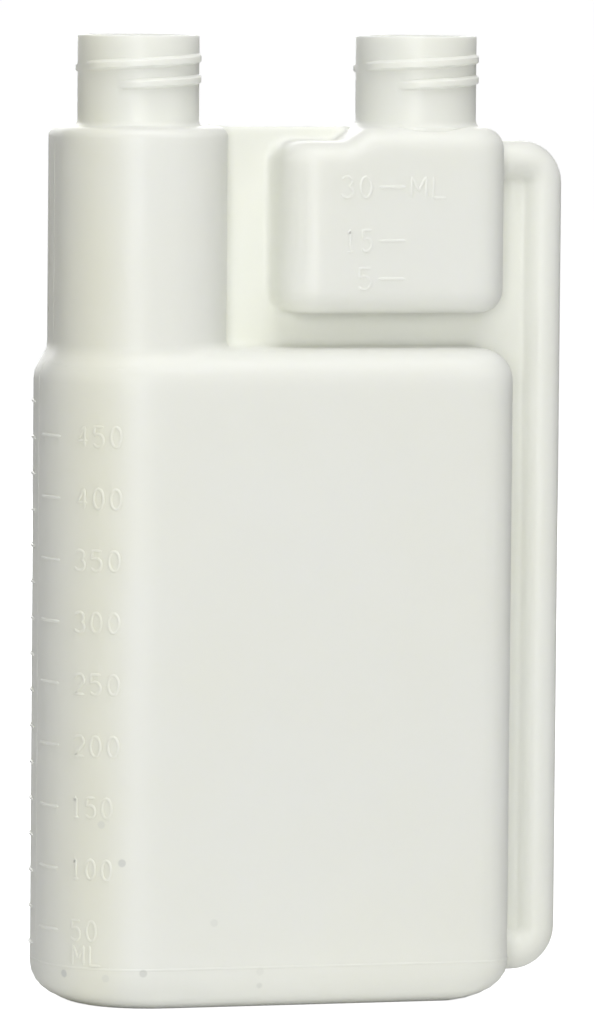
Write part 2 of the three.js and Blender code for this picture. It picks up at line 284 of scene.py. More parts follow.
def tube_distance(p):
    """Distance from the transfer tube: the nearest of its three runs and two bends."""
    x = p[:, 0]
    y = p[:, 1]
    z = p[:, 2]
    top_x = TUBE_X - TUBE_TOP_BEND
    top_z = TUBE_TOP_Z - TUBE_TOP_BEND
    low_x = TUBE_X - TUBE_BOTTOM_BEND
    low_z = TUBE_BOTTOM_Z + TUBE_BOTTOM_BEND
    reach_top = np.maximum(np.maximum(x - top_x, CHAMBER_RIGHT - TUBE_REACH - x), 0.0)
    reach_low = np.maximum(np.maximum(x - low_x, BODY_RIGHT - TUBE_REACH - x), 0.0)
    along = np.maximum(np.maximum(z - top_z, low_z - z), 0.0)
    run_top = np.sqrt(reach_top ** 2 + (z - TUBE_TOP_Z) ** 2)
    run_low = np.sqrt(reach_low ** 2 + (z - TUBE_BOTTOM_Z) ** 2)
    run_side = np.sqrt(along ** 2 + (x - TUBE_X) ** 2)
    off_top = np.abs(np.hypot(x - top_x, z - top_z) - TUBE_TOP_BEND)
    bend_top = np.where((x > top_x) & (z > top_z), off_top, FAR)
    off_low = np.abs(np.hypot(x - low_x, z - low_z) - TUBE_BOTTOM_BEND)
    bend_low = np.where((x > low_x) & (z < low_z), off_low, FAR)
    nearest = np.minimum.reduce([run_top, run_low, run_side, bend_top, bend_low])
    return np.hypot(nearest, y) - TUBE_RADIUS


def groove_distance(p):
    """Distance from the pinch groove: a prism under a flat floor with two sloping sides."""
    run = (PINCH_GROOVE_WIDTH - PINCH_GROOVE_FLOOR) / 2
    slope = math.hypot(run, PINCH_GROOVE_DEPTH)
    side = (np.abs(p[:, 1]) - PINCH_GROOVE_WIDTH / 2) * PINCH_GROOVE_DEPTH + p[:, 2] * run
    return np.maximum(p[:, 2] - PINCH_GROOVE_DEPTH, side / slope)


def blend(a, b, width):
    """Smooth union: the lower of two distances, less a soft bump where they are close."""
    overlap = np.maximum(width - np.abs(a - b), 0.0)
    return np.minimum(a, b) - overlap * overlap / (4.0 * width)


def skin_distance(p, soft=1.0):
    """Distance from the outer skin; soft is 1 with the blends and near 0 without them."""
    chambers = blend(block_distance(main_body, p), block_distance(filler_column, p), BLEND_COLUMN * soft)
    chambers = np.minimum(chambers, chamber_distance(p))
    webs = np.minimum(block_distance(upper_web, p), block_distance(side_web, p))
    webs = blend(webs, tube_distance(p), BLEND_TUBE * soft)
    whole = blend(chambers, webs, BLEND_WEB * soft)
    return -blend(-whole, groove_distance(p), BLEND_GROOVE * soft)


# ---- Surfaces ----
def steps_over(length, step):
    """Number of equal steps that cover a length, none longer than the step given."""
    return max(int(math.ceil(length / step)), 1)


def plan_stations(block, step):
    """Stations round a rounded plan. Each has a first and second place on a corner's arc and
    a share between them, so arcs and straight runs are handled alike."""
    corners = [(1, 1, 0.0), (-1, 1, 0.5), (-1, -1, 1.0), (1, -1, 1.5)]
    wide = block.right - block.left - block.left_radius - block.right_radius
    left_run = block.depth - 2 * block.left_radius
    right_run = block.depth - 2 * block.right_radius
    runs = [wide, left_run, wide, right_run]
    parts = []
    for i, (side, face, turn) in enumerate(corners):
        radius = block.right_radius if side > 0 else block.left_radius
        count = max(steps_over(radius * math.pi / 2, step), 6)
        angle = math.pi * (turn + 0.5 * np.arange(count + 1) / count)
        n = len(angle)
        parts.append(np.stack([np.full(n, i), angle, np.full(n, i), angle, np.zeros(n)], axis=1))
        if runs[i] > step / 4:
            share = np.arange(1, steps_over(runs[i], step)) / steps_over(runs[i], step)
            n = len(share)
            edge = math.pi * (turn + 0.5)
            j = (i + 1) % 4
            parts.append(np.stack(
                [np.full(n, i), np.full(n, edge), np.full(n, j), np.full(n, edge), share], axis=1))
    return np.concatenate(parts)


def block_grid(block, inset=0.0, step=STEP_COARSE, edge_steps=7):
    """Grid of an upright block. Rows climb from the middle of the base, round the bottom edge
    (inset falls by 1 - sin), up the wall, round the top edge and in to the middle of the top;
    columns go round the plan. The first and last rows fall on a spine at half depth."""
    low = block.bottom + inset
    high = block.top - inset
    low_radius = max(block.bottom_radius - inset, WALL / 2)
    high_radius = max(block.top_radius - inset, WALL / 2)
    turn = np.linspace(0.0, math.pi / 2, edge_steps + 1)
    rows_up = steps_over(high - low - low_radius - high_radius, step)
    wall_z = np.linspace(low + low_radius, high - high_radius, rows_up + 1)[1:-1]
    caps = steps_over(block.depth / 2 - max(low_radius, high_radius), step * 1.5)
    fill = np.linspace(0.0, 1.0, caps + 1)
    drawn_low = 1 - np.sin(turn)
    drawn_high = 1 - np.cos(turn)
    inner = np.concatenate([
        np.full(caps, low_radius), low_radius * drawn_low, np.zeros(len(wall_z)),
        high_radius * drawn_high, np.full(caps, high_radius)]) + inset
    pull = np.concatenate([
        np.ones(caps), drawn_low, np.zeros(len(wall_z) + len(turn) + caps)])
    z = np.concatenate([
        np.full(caps, low), low + low_radius * (1 - np.cos(turn)), wall_z,
        high - high_radius * (1 - np.sin(turn)), np.full(caps, high)])
    squeeze = np.concatenate([fill[:0:-1], np.zeros(len(z) - 2 * caps), fill[1:]])
    stations = plan_stations(block, step)
    sides = np.array([1, -1, -1, 1])
    faces = np.array([1, 1, -1, -1])
    radii = np.array([block.right_radius, block.left_radius, block.left_radius, block.right_radius])
    rest = np.array([block.right, block.left, block.left, block.right])
    runs = np.array([block.right_run, block.left_run, block.left_run, block.right_run])
    runs = runs - block.bottom_radius

    def place(corner, angle):
        """Places on the arc of each station's corner, one row for each row of the grid."""
        corner = corner.astype(int)
        radius = np.maximum(radii[corner][None, :] - inner[:, None], WALL / 4)
        wall_x = rest[corner][None, :] - sides[corner][None, :] * (
            inner[:, None] + runs[corner][None, :] * pull[:, None])
        centre_x = wall_x - sides[corner][None, :] * radius
        centre_y = faces[corner][None, :] * (block.depth / 2 - inner[:, None] - radius)
        return centre_x + radius * np.cos(angle)[None, :], centre_y + radius * np.sin(angle)[None, :]

    ax, ay = place(stations[:, 0], stations[:, 1])
    bx, by = place(stations[:, 2], stations[:, 3])
    share = stations[:, 4][None, :]
    x = ax + (bx - ax) * share
    y = ay + (by - ay) * share
    spine_low = block.left + np.minimum(block.depth / 2, (block.right - block.left) / 2)
    spine_high = block.right - np.minimum(block.depth / 2, (block.right - block.left) / 2)
    spine_x = np.clip(x, spine_low, max(spine_high, spine_low))
    x = x + (spine_x - x) * squeeze[:, None]
    y = y * (1 - squeeze[:, None])
    return np.stack([x, y, np.repeat(z[:, None], x.shape[1], axis=1)], axis=2)


def grid_faces(rows, columns, start, closed_rows, ends):
    """Four-cornered faces of a grid whose columns go round, with its vertices from start."""
    row = np.arange(rows if closed_rows else rows - 1)
    column = np.arange(columns)
    a = row[:, None] * columns + column[None, :]
    b = row[:, None] * columns + (column[None, :] + 1) % columns
    up = ((row + 1) % rows)[:, None] * columns
    c = up + (column[None, :] + 1) % columns
    d = up + column[None, :]
    faces = (np.stack([a, b, c, d], axis=2).reshape(-1, 4) + start).tolist()
    if ends == "face" and not closed_rows:
        faces.append(list(range(start + columns - 1, start - 1, -1)))
        faces.append(list(range(start + (rows - 1) * columns, start + rows * columns)))
    return faces


def mesh_from_grid(name, grids, ends="merge", loops=()):
    """Mesh of one grid or a list of them. A grid's ends are merged where they already close,
    or each gets one flat face; the rows of the grids whose numbers are in loops go round."""
    grids = grids if isinstance(grids, list) else [grids]
    faces = []
    start = 0
    for i, grid in enumerate(grids):
        faces += grid_faces(grid.shape[0], grid.shape[1], start, i in loops, ends)
        start += grid.shape[0] * grid.shape[1]
    points = np.concatenate([grid.reshape(-1, 3) for grid in grids])
    mesh = bpy.data.meshes.new(name)
    mesh.from_pydata(points.tolist(), [], faces)
    piece = bpy.data.objects.new(name, mesh)
    bpy.context.scene.collection.objects.link(piece)
    edit = bmesh.new()
    edit.from_mesh(mesh)
    bmesh.ops.remove_doubles(edit, verts=edit.verts, dist=MERGE_DISTANCE)
    bmesh.ops.dissolve_degenerate(edit, edges=edit.edges, dist=MERGE_DISTANCE)
    bmesh.ops.triangulate(edit, faces=[f for f in edit.faces if len(f.verts) > 3])
    if edit.calc_volume(signed=True) < 0:
        bmesh.ops.reverse_faces(edit, faces=edit.faces)
    edit.to_mesh(mesh)
    edit.free()
    return piece


def join_solid(piece, others, operation="UNION"):
    """Boolean of a piece with others, one after the other, applied to its mesh."""
    for other in others:
        cut = piece.modifiers.new("cut", "BOOLEAN")
        cut.solver = "MANIFOLD"
        cut.operation = operation
        cut.object = other
        depsgraph = bpy.context.evaluated_depsgraph_get()
        result = bpy.data.meshes.new_from_object(piece.evaluated_get(depsgraph))
        old = piece.data
        piece.modifiers.clear()
        piece.data = result
        bpy.data.meshes.remove(old)
        bpy.data.objects.remove(other, do_unlink=True)
    return piece


def lift_chamber(grid):
    """The chamber's grid with its top lifted: z is raised until z less the lift is back at
    the old z, by repeating the sum a few times."""
    base = grid[..., 2].copy()
    for _ in range(LIFT_REPEATS):
        grid[..., 2] = base + shoulder_rise(grid[..., 0], grid[..., 2])
    return grid


def tube_path(step):
    """Points and turn angles along the tube's middle line: out, round, down, round and in."""
    top_x = TUBE_X - TUBE_TOP_BEND
    top_z = TUBE_TOP_Z - TUBE_TOP_BEND
    low_x = TUBE_X - TUBE_BOTTOM_BEND
    low_z = TUBE_BOTTOM_Z + TUBE_BOTTOM_BEND
    bend = np.linspace(0.0, math.pi / 2, 11)
    start = np.linspace(CHAMBER_RIGHT - TUBE_REACH, top_x, 6)[:-1]
    side = np.linspace(top_z, low_z, steps_over(top_z - low_z, step) + 1)[1:-1]
    end = np.linspace(low_x, BODY_RIGHT - TUBE_REACH, 6)[1:]
    x = np.concatenate([
        start, top_x + TUBE_TOP_BEND * np.sin(bend), np.full(len(side), TUBE_X),
        low_x + TUBE_BOTTOM_BEND * np.cos(bend), end])
    z = np.concatenate([
        np.full(len(start), TUBE_TOP_Z), top_z + TUBE_TOP_BEND * np.cos(bend), side,
        low_z - TUBE_BOTTOM_BEND * np.sin(bend), np.full(len(end), TUBE_BOTTOM_Z)])
    heading = np.concatenate([
        np.zeros(len(start)), -bend, np.full(len(side), -math.pi / 2),
        -math.pi / 2 - bend, np.full(len(end), -math.pi)])
    return x, z, heading


def tube_grid(radius, step, flats):
    """A circle carried along the tube's middle line, square to its heading."""
    x, z, heading = tube_path(step)
    angle = np.linspace(0.0, 2 * math.pi, flats, endpoint=False)
    out = radius * np.cos(angle)[None, :]
    grid_x = x[:, None] - np.sin(heading)[:, None] * out
    grid_z = z[:, None] + np.cos(heading)[:, None] * out
    grid_y = np.repeat(radius * np.sin(angle)[None, :], len(x), axis=0)
    return np.stack([grid_x, grid_y, grid_z], axis=2)


def turned_grid(profile, centre_x, flats):
    """A profile of (radius, z) turned about an upright axis."""
    angle = np.linspace(0.0, 2 * math.pi, flats, endpoint=False)
    radius = profile[:, 0][:, None]
    x = centre_x + radius * np.cos(angle)[None, :]
    y = radius * np.sin(angle)[None, :]
    return np.stack([x, y, np.repeat(profile[:, 1][:, None], flats, axis=1)], axis=2)


def neck_profile():
    """Outer line of a neck: sunk foot, quarter-round fillet, straight wall, quarter-round rim."""
    root = NECK_ROOT_DIAMETER / 2
    turn = np.linspace(0.0, math.pi / 2, 6)
    wall_z = np.linspace(NECK_LINE + NECK_BASE_FILLET, OVERALL_HEIGHT - RIM_ROUND, 8)[1:-1]
    radius = np.concatenate([
        [0.0, root + NECK_BASE_FILLET], root + NECK_BASE_FILLET * (1 - np.sin(turn)),
        np.full(len(wall_z), root), root - RIM_ROUND * (1 - np.cos(turn)), [0.0]])
    z = np.concatenate([
        [NECK_LINE - OVERSHOOT, NECK_LINE - OVERSHOOT],
        NECK_LINE - TINY * 100 + NECK_BASE_FILLET * (1 - np.cos(turn)), wall_z,
        OVERALL_HEIGHT - RIM_ROUND * (1 - np.sin(turn)), [OVERALL_HEIGHT]])
    return np.stack([radius, z], axis=1)


def bore_profile():
    """Line of a neck's bore, a little wider where it meets the rim."""
    bore = NECK_BORE_DIAMETER / 2
    low = NECK_LINE - COLUMN_SHOULDER_RADIUS * 2
    radius = np.array([0.0, bore, bore, bore + RIM_ROUND / 2, bore + RIM_ROUND, bore + RIM_ROUND, 0.0])
    z = np.array([
        low, low, OVERALL_HEIGHT - RIM_ROUND, OVERALL_HEIGHT - RIM_ROUND / 3, OVERALL_HEIGHT + TINY,
        OVERALL_HEIGHT + OVERSHOOT, OVERALL_HEIGHT + OVERSHOOT])
    return np.stack([radius, z], axis=1)


def thread_grid(centre_x):
    """A rounded ridge carried up the neck in a right-hand helix. Its height fades where it
    crosses the parting line at both sides, and at its two ends."""
    degrees = np.linspace(THREAD_START_ANGLE, THREAD_END_ANGLE, THREAD_STEPS + 1)
    phase = np.mod(degrees, 180.0)
    from_line = np.minimum(phase, 180.0 - phase)
    from_end = np.minimum(degrees - THREAD_START_ANGLE, THREAD_END_ANGLE - degrees)
    nearest = np.minimum(from_line - THREAD_CLEAR_ANGLE, from_end)
    full = ease(nearest / THREAD_FADE_ANGLE) * (1 + THREAD_SINK) - THREAD_SINK
    root = NECK_ROOT_DIAMETER / 2
    across = np.linspace(-1.0, 1.0, THREAD_ROWS)
    flat = THREAD_CREST_WIDTH / THREAD_BASE_WIDTH
    lift = ease((1 - np.abs(across)) / (1 - flat) * 1.1)
    crest = root + THREAD_HEIGHT * np.minimum(full, 1.0)
    base = root - THREAD_ROOT_DEPTH
    radius = base + (crest - base)[:, None] * lift[None, :]
    radius = np.maximum(radius, base)
    middle = OVERALL_HEIGHT - THREAD_TOP_BELOW_RIM - THREAD_PITCH * (THREAD_TOP_ANGLE - degrees) / 360
    z = middle[:, None] - across[None, :] * THREAD_BASE_WIDTH / 2
    angle = np.radians(degrees)[:, None]
    return np.stack([centre_x + radius * np.cos(angle), radius * np.sin(angle), z], axis=2)


def groove_grid():
    """The pinch groove's section carried along the base."""
    mouth = PINCH_GROOVE_WIDTH / 2
    floor = PINCH_GROOVE_FLOOR / 2
    y = np.array([-mouth, mouth, mouth, floor, -floor, -mouth])
    z = np.array([-OVERSHOOT, -OVERSHOOT, 0.0, PINCH_GROOVE_DEPTH, PINCH_GROOVE_DEPTH, 0.0])
    x = np.array([BODY_LEFT - OVERSHOOT, BODY_RIGHT + OVERSHOOT])
    return np.stack(np.broadcast_arrays(x[:, None], y[None, :], z[None, :]), axis=2)


# ---- Raised marks ----
def on_left(s, z, face):
    """Place and outward normal on the left rounding: s is the length round it from the
    parting line, towards the front where face is -1 and towards the back where it is 1."""
    angle = s / BODY_LEFT_RADIUS
    normal = np.stack([-np.cos(angle), face * np.sin(angle), np.zeros_like(angle)], axis=1)
    centre = np.array([BODY_LEFT + BODY_LEFT_RADIUS, face * (BODY_DEPTH / 2 - BODY_LEFT_RADIUS), 0.0])
    place = centre + normal * BODY_LEFT_RADIUS
    place[:, 2] = z
    return place, normal


def on_left_front(s, z):
    """Place and normal on the left rounding, towards the front."""
    return on_left(s, z, -1)


def on_left_back(s, z):
    """Place and normal on the left rounding, towards the back."""
    return on_left(s, z, 1)


def on_chamber(x, z):
    """Place and outward normal on the front of the dosing chamber."""
    normal = np.zeros((len(x), 3))
    normal[:, 1] = -1.0
    return np.stack([x, np.full(len(x), -CHAMBER_DEPTH / 2), z], axis=1), normal


def even_line(points, step, closed=False):
    """A line through the given points, cut into even steps."""
    if closed:
        points = np.concatenate([points, points[:1]])
    lengths = np.linalg.norm(np.diff(points, axis=0), axis=1)
    along = np.concatenate([[0.0], np.cumsum(lengths)])
    count = max(steps_over(along[-1], step), 4)
    at = np.linspace(0.0, along[-1], count + 1)
    if closed:
        at = at[:-1]
    return np.stack([np.interp(at, along, points[:, 0]), np.interp(at, along, points[:, 1])], axis=1)


def bead_grid(place, normal, width, height, closed=False):
    """A half-sunk oval bead along a line on the skin, drawn to a point-like round at its ends."""
    if closed:
        heading = np.roll(place, -1, axis=0) - np.roll(place, 1, axis=0)
    else:
        heading = np.gradient(place, axis=0)
    heading /= np.linalg.norm(heading, axis=1)[:, None]
    side = np.cross(normal, heading)
    turn = np.linspace(0.0, 2 * math.pi, 8, endpoint=False) + math.pi / 8
    size = np.ones(len(place))
    if not closed:
        gaps = np.linalg.norm(np.diff(place, axis=0), axis=1)
        along = np.concatenate([[0.0], np.cumsum(gaps)])
        to_end = np.minimum(along, along[-1] - along) / (width / 2)
        size = np.sqrt(np.clip(1.0 - (1.0 - np.minimum(to_end, 1.0)) ** 2, 0.12, 1.0))
    across = (width / 2) * size[:, None] * np.cos(turn)[None, :]
    proud = height * size[:, None] * np.sin(turn)[None, :]
    return place[:, None, :] + side[:, None, :] * across[..., None] + normal[:, None, :] * proud[..., None]


def arc(centre_x, centre_y, radius_x, radius_y, start, end, count=14):
    """Points of an oval arc between two angles in degrees."""
    angle = np.radians(np.linspace(start, end, count))
    return np.stack([centre_x + radius_x * np.cos(angle), centre_y + radius_y * np.sin(angle)], axis=1)


def figure_strokes(sign):
    """Single strokes of a plain numeral or letter in a unit box, as (points, closed) pairs."""
    if sign == "0":
        return [(arc(0.5, 0.5, 0.45, 0.5, 0, 345, 24), True)]
    if sign == "1":
        return [(np.array([[0.2, 0.8], [0.5, 1.0], [0.5, 0.0]]), False),
                (np.array([[0.2, 0.0], [0.8, 0.0]]), False)]
    if sign == "2":
        return [(np.concatenate([arc(0.5, 0.72, 0.48, 0.28, 170, -25), [[0.0, 0.0], [1.0, 0.0]]]), False)]
    if sign == "3":
        top = arc(0.48, 0.76, 0.44, 0.24, 160, -80)
        low = arc(0.46, 0.27, 0.52, 0.27, 80, -160)
        return [(top, False), (low, False)]
    if sign == "4":
        return [(np.array([[0.72, 0.0], [0.72, 1.0]]), False),
                (np.array([[0.66, 1.0], [0.0, 0.3], [1.0, 0.3]]), False)]
    if sign == "5":
        bowl = arc(0.45, 0.32, 0.5, 0.32, 125, -150)
        return [(np.concatenate([[[0.95, 1.0], [0.1, 1.0], [0.06, 0.58]], bowl]), False)]
    if sign == "6":
        return [(arc(0.5, 0.3, 0.45, 0.3, 0, 345, 20), True),
                (np.array([[0.75, 1.0], [0.3, 0.75], [0.06, 0.4]]), False)]
    if sign == "8":
        return [(arc(0.5, 0.77, 0.38, 0.23, 0, 345, 20), True),
                (arc(0.5, 0.28, 0.46, 0.28, 0, 345, 20), True)]
    if sign == "M":
        return [(np.array([[0.0, 0.0], [0.0, 1.0]]), False), (np.array([[1.0, 0.0], [1.0, 1.0]]), False),
                (np.array([[0.05, 0.97], [0.5, 0.3]]), False), (np.array([[0.95, 0.97], [0.5, 0.3]]), False)]
    if sign == "L":
        return [(np.array([[0.0, 1.0], [0.0, 0.0], [0.9, 0.0]]), False)]
    if sign == "-":
        return [(np.array([[0.0, 0.5], [1.0, 0.5]]), False)]
    return []


class Marks:
    """Layers of beads. Strokes of one sign go to different layers, so none crosses another
    in its own layer."""

    def __init__(self):
        """Starts with three empty layers."""
        self.layers = [[], [], []]
        self.loops = [[], [], []]

    def add(self, layer, grid, closed=False):
        """Adds a bead to a layer, and notes it there where it goes round."""
        if closed:
            self.loops[layer].append(len(self.layers[layer]))
        self.layers[layer].append(grid)

    def write(self, signs, left, right, middle, tall, skin, width=MARK_THICKNESS, proud=MARK_HEIGHT):
        """Writes signs between two places along the skin, centred on one height."""
        wide = (right - left) / (len(signs) + (len(signs) - 1) * SIGN_GAP)
        for i, sign in enumerate(signs):
            start = left + i * wide * (1 + SIGN_GAP)
            for stroke, (points, closed) in enumerate(figure_strokes(sign)):
                inner = np.array([wide - width, tall - width])
                line = points * inner + np.array([start + width / 2, middle - tall / 2 + width / 2])
                line = even_line(line, BEAD_STEP, closed)
                place, normal = skin(line[:, 0], line[:, 1])
                self.add(STROKE_LAYERS[stroke], bead_grid(place, normal, width, proud, closed), closed)

    def pieces(self):
        """One mesh for each layer that holds anything."""
        return [mesh_from_grid("marks", layer, "face", loops)
                for layer, loops in zip(self.layers, self.loops) if layer]


def scale_marks():
    """Ticks and numerals of the three scales, the base ring and the parting lines."""
    marks = Marks()
    for i in range(MILLILITRE_MARKS):
        z = MILLILITRE_FIRST + MILLILITRE_STEP * i
        tick = MARK_THICKNESS * 1.2
        marks.write("-", TICK_START, TICK_END, z, tick, on_left_front, BEAD_WIDTH, TICK_PROUD)
        number = str(MILLILITRE_PER_MARK * (i + 1))
        start = NARROW_START if i < 3 else NUMERAL_START if i < 7 else UPPER_START
        length = NARROW_LENGTH if i < 3 else NUMERAL_LENGTH if i < 7 else UPPER_LENGTH
        right = start + length * (len(number) + 0.1) / 3.1
        marks.write(
            number, start, right, z + NUMERAL_RISE, NUMERAL_TALL, on_left_front, BEAD_WIDTH, BEAD_PROUD)
    right = NUMERAL_START + UNIT_LENGTH
    marks.write("ML", NUMERAL_START, right, UNIT_MIDDLE, NUMERAL_TALL, on_left_front, BEAD_WIDTH, BEAD_PROUD)
    for i in range(OUNCE_MARKS):
        z = OUNCE_FIRST + OUNCE_STEP * i
        marks.write("-", TICK_START, TICK_END, z, MARK_THICKNESS * 1.2, on_left_back)
        number = str(i + 1)
        if i % 2:
            wide = NUMERAL_LENGTH * len(number) / 3

            def turned_back(s, h, wide=wide):
                """The left back, with s run the other way so that the numeral reads rightly."""
                return on_left(NUMERAL_START * 2 + wide - s, h, 1)

            right = NUMERAL_START + wide
            tall = NUMERAL_TALL * OUNCE_TALL_SHARE
            marks.write(number, NUMERAL_START, right, z, tall, turned_back, BEAD_WIDTH, BEAD_PROUD)
    for number, z, left in DOSE_MARKS:
        marks.write(number, left, DOSE_RIGHT, z, DOSE_TALL, on_chamber, DOSE_STROKE, DOSE_PROUD)
        left, right = DOSE_DASH
        marks.write("-", left, right, z, DOSE_STROKE * 1.2, on_chamber, DOSE_STROKE, DOSE_PROUD)
    left, right = DOSE_UNIT
    z = DOSE_MARKS[0][1]
    marks.write("ML", left, right, z, DOSE_TALL, on_chamber, DOSE_STROKE, DOSE_PROUD)
    rows = block_grid(main_body, step=STEP_COARSE)
    ring = rows[np.argmin(np.abs(rows[:, 0, 2] - BODY_HEIGHT / 2))].copy()
    ring[:, 2] = BASE_RING_HEIGHT
    ahead = np.roll(ring, -1, axis=0) - np.roll(ring, 1, axis=0)
    normal = np.stack([ahead[:, 1], -ahead[:, 0], np.zeros(len(ring))], axis=1)
    normal /= np.linalg.norm(normal, axis=1)[:, None]
    marks.add(0, bead_grid(ring, normal, LINE_WIDTH, LINE_PROUD, True), True)
    turn = np.linspace(0.0, LINE_SHOULDER_TURN, 10)
    line_low = BASE_RING_HEIGHT + LINE_WIDTH * 2
    z = np.concatenate([
        np.linspace(line_low, BODY_HEIGHT - BODY_SHOULDER_RADIUS, BODY_LINE_STEPS + 1)[:-1],
        BODY_HEIGHT - BODY_SHOULDER_RADIUS * (1 - np.sin(turn))])
    x = BODY_LEFT + np.concatenate([np.zeros(BODY_LINE_STEPS), BODY_SHOULDER_RADIUS * (1 - np.cos(turn))])
    tilt = np.concatenate([np.zeros(BODY_LINE_STEPS), turn])
    place = np.stack([x, np.zeros(len(x)), z], axis=1)
    normal = np.stack([-np.cos(tilt), np.zeros(len(x)), np.sin(tilt)], axis=1)
    marks.add(1, bead_grid(place, normal, LINE_WIDTH, LINE_PROUD))
    z = np.linspace(BODY_HEIGHT, NECK_LINE - COLUMN_SHOULDER_RADIUS, COLUMN_LINE_POINTS)
    place = np.stack([np.full(len(z), COLUMN_LEFT), np.zeros(len(z)), z], axis=1)
    normal = np.repeat(np.array([[-1.0, 0.0, 0.0]]), len(z), axis=0)
    marks.add(1, bead_grid(place, normal, LINE_WIDTH, LINE_PROUD))
    return marks.pieces()


# ---- Refining and blending ----
def gradient(p):
    """Slope of the skin distance, by differences a hundredth of a millimetre to each side."""
    small = 1e-5
    slope = np.empty_like(p)
    for axis in range(3):
        shift = np.zeros(3)
        shift[axis] = small
        slope[:, axis] = (skin_distance(p + shift) - skin_distance(p - shift)) / (2 * small)
    return slope


def settle(points):
    """Moves points along the slope until they lie on the blended skin."""
    for _ in range(4):
        slope = gradient(points)
        size = np.maximum((slope * slope).sum(axis=1), 0.05)
        points = points - slope * (skin_distance(points) / size)[:, None]
    return points


def near_blend(points):
    """True on the outer skin where the blends move it, but not at the foot of a neck."""
    plain = skin_distance(points, 0.02)
    moved = np.abs(skin_distance(points) - plain) > 4e-6
    from_neck = np.minimum(
        np.hypot(points[:, 0] - MAIN_NECK_X, points[:, 1]),
        np.hypot(points[:, 0] - DOSING_NECK_X, points[:, 1]))
    clear = (points[:, 2] < NECK_LINE - STEP_FINE) | (from_neck > NECK_ROOT_DIAMETER / 2 + STEP_COARSE)
    return moved & clear & (np.abs(plain) < BLEND_COLUMN / 4)


def refine_and_blend(piece, passes, least):
    """Splits edges near the creases until they are short, then eases the new vertices along
    the skin and lets them settle on the blended surface."""
    for _ in range(passes):
        edit = bmesh.new()
        edit.from_mesh(piece.data)
        edit.edges.ensure_lookup_table()
        points = np.array([v.co[:] for v in edit.verts])
        ends = np.array([(e.verts[0].index, e.verts[1].index) for e in edit.edges])
        first = points[ends[:, 0]]
        second = points[ends[:, 1]]
        length = np.linalg.norm(first - second, axis=1)
        close = near_blend(first) | near_blend(second) | near_blend((first + second) / 2)
        chosen = np.nonzero(close & (length > least))[0]
        if len(chosen) == 0:
            edit.free()
            break
        bmesh.ops.subdivide_edges(edit, edges=[edit.edges[i] for i in chosen], cuts=1)
        bmesh.ops.triangulate(edit, faces=[f for f in edit.faces if len(f.verts) > 3])
        edit.to_mesh(piece.data)
        edit.free()
    mesh = piece.data
    count = len(mesh.vertices)
    points = np.empty(count * 3)
    mesh.vertices.foreach_get("co", points)
    points = points.reshape(-1, 3)
    ends = np.empty(len(mesh.edges) * 2, dtype=int)
    mesh.edges.foreach_get("vertices", ends)
    ends = ends.reshape(-1, 2)
    degree = np.bincount(ends.ravel(), minlength=count).astype(float)
    moving = near_blend(points)
    for _ in range(6):
        total = np.zeros_like(points)
        np.add.at(total, ends[:, 0], points[ends[:, 1]])
        np.add.at(total, ends[:, 1], points[ends[:, 0]])
        eased = points * 0.5 + 0.5 * total / np.maximum(degree, 1)[:, None]
        points[moving] = settle(eased[moving])
    mesh.vertices.foreach_set("co", points.ravel())
    mesh.update()


# ---- The bottle ----
def outer_skin():
    """Body, column, chamber, webs and tube as one solid, blended where they meet."""
    skin = mesh_from_grid("bottle_skin", block_grid(main_body))
    parts = [
        mesh_from_grid("column", block_grid(filler_column, step=STEP_MEDIUM)),
        mesh_from_grid("chamber", lift_chamber(block_grid(dosing_chamber, step=STEP_MEDIUM))),
        mesh_from_grid("upper_web", block_grid(upper_web, edge_steps=3, step=STEP_MEDIUM)),
        mesh_from_grid("side_web", block_grid(side_web, edge_steps=3, step=STEP_MEDIUM)),
        mesh_from_grid("tube", tube_grid(TUBE_RADIUS, STEP_MEDIUM, TUBE_FLATS), ends="face"),
    ]
    join_solid(skin, parts)
    join_solid(skin, [mesh_from_grid("groove", groove_grid(), ends="face")], "DIFFERENCE")
    return skin


def inner_hollow():
    """The room inside: each block drawn in by the wall, with the bores and the tube's bore."""
    hollow = mesh_from_grid("hollow", block_grid(main_body, WALL))
    parts = [
        mesh_from_grid("column_room", block_grid(filler_column, WALL, STEP_MEDIUM)),
        mesh_from_grid("chamber_room", lift_chamber(block_grid(dosing_chamber, WALL, STEP_MEDIUM))),
        mesh_from_grid(
            "tube_room", tube_grid(TUBE_RADIUS - TUBE_WALL, STEP_MEDIUM, TUBE_BORE_FLATS), ends="face"),
    ]
    for neck_x in (MAIN_NECK_X, DOSING_NECK_X):
        parts.append(mesh_from_grid("bore", turned_grid(bore_profile(), neck_x, NECK_FLATS)))
    return join_solid(hollow, parts)


def necks_and_threads():
    """Both necks with their threads."""
    parts = []
    for neck_x in (MAIN_NECK_X, DOSING_NECK_X):
        parts.append(mesh_from_grid("neck", turned_grid(neck_profile(), neck_x, NECK_FLATS)))
        parts.append(mesh_from_grid("thread", thread_grid(neck_x), ends="face"))
    return parts


bottle_skin = outer_skin()
join_solid(bottle_skin, necks_and_threads())
join_solid(bottle_skin, scale_marks())
join_solid(bottle_skin, [inner_hollow()], "DIFFERENCE")
refine_and_blend(bottle_skin, REFINE_PASSES, STEP_FINE)
bottle_skin.data.shade_smooth()
bottle_skin.data.set_sharp_from_angle(angle=SHARP_ANGLE)

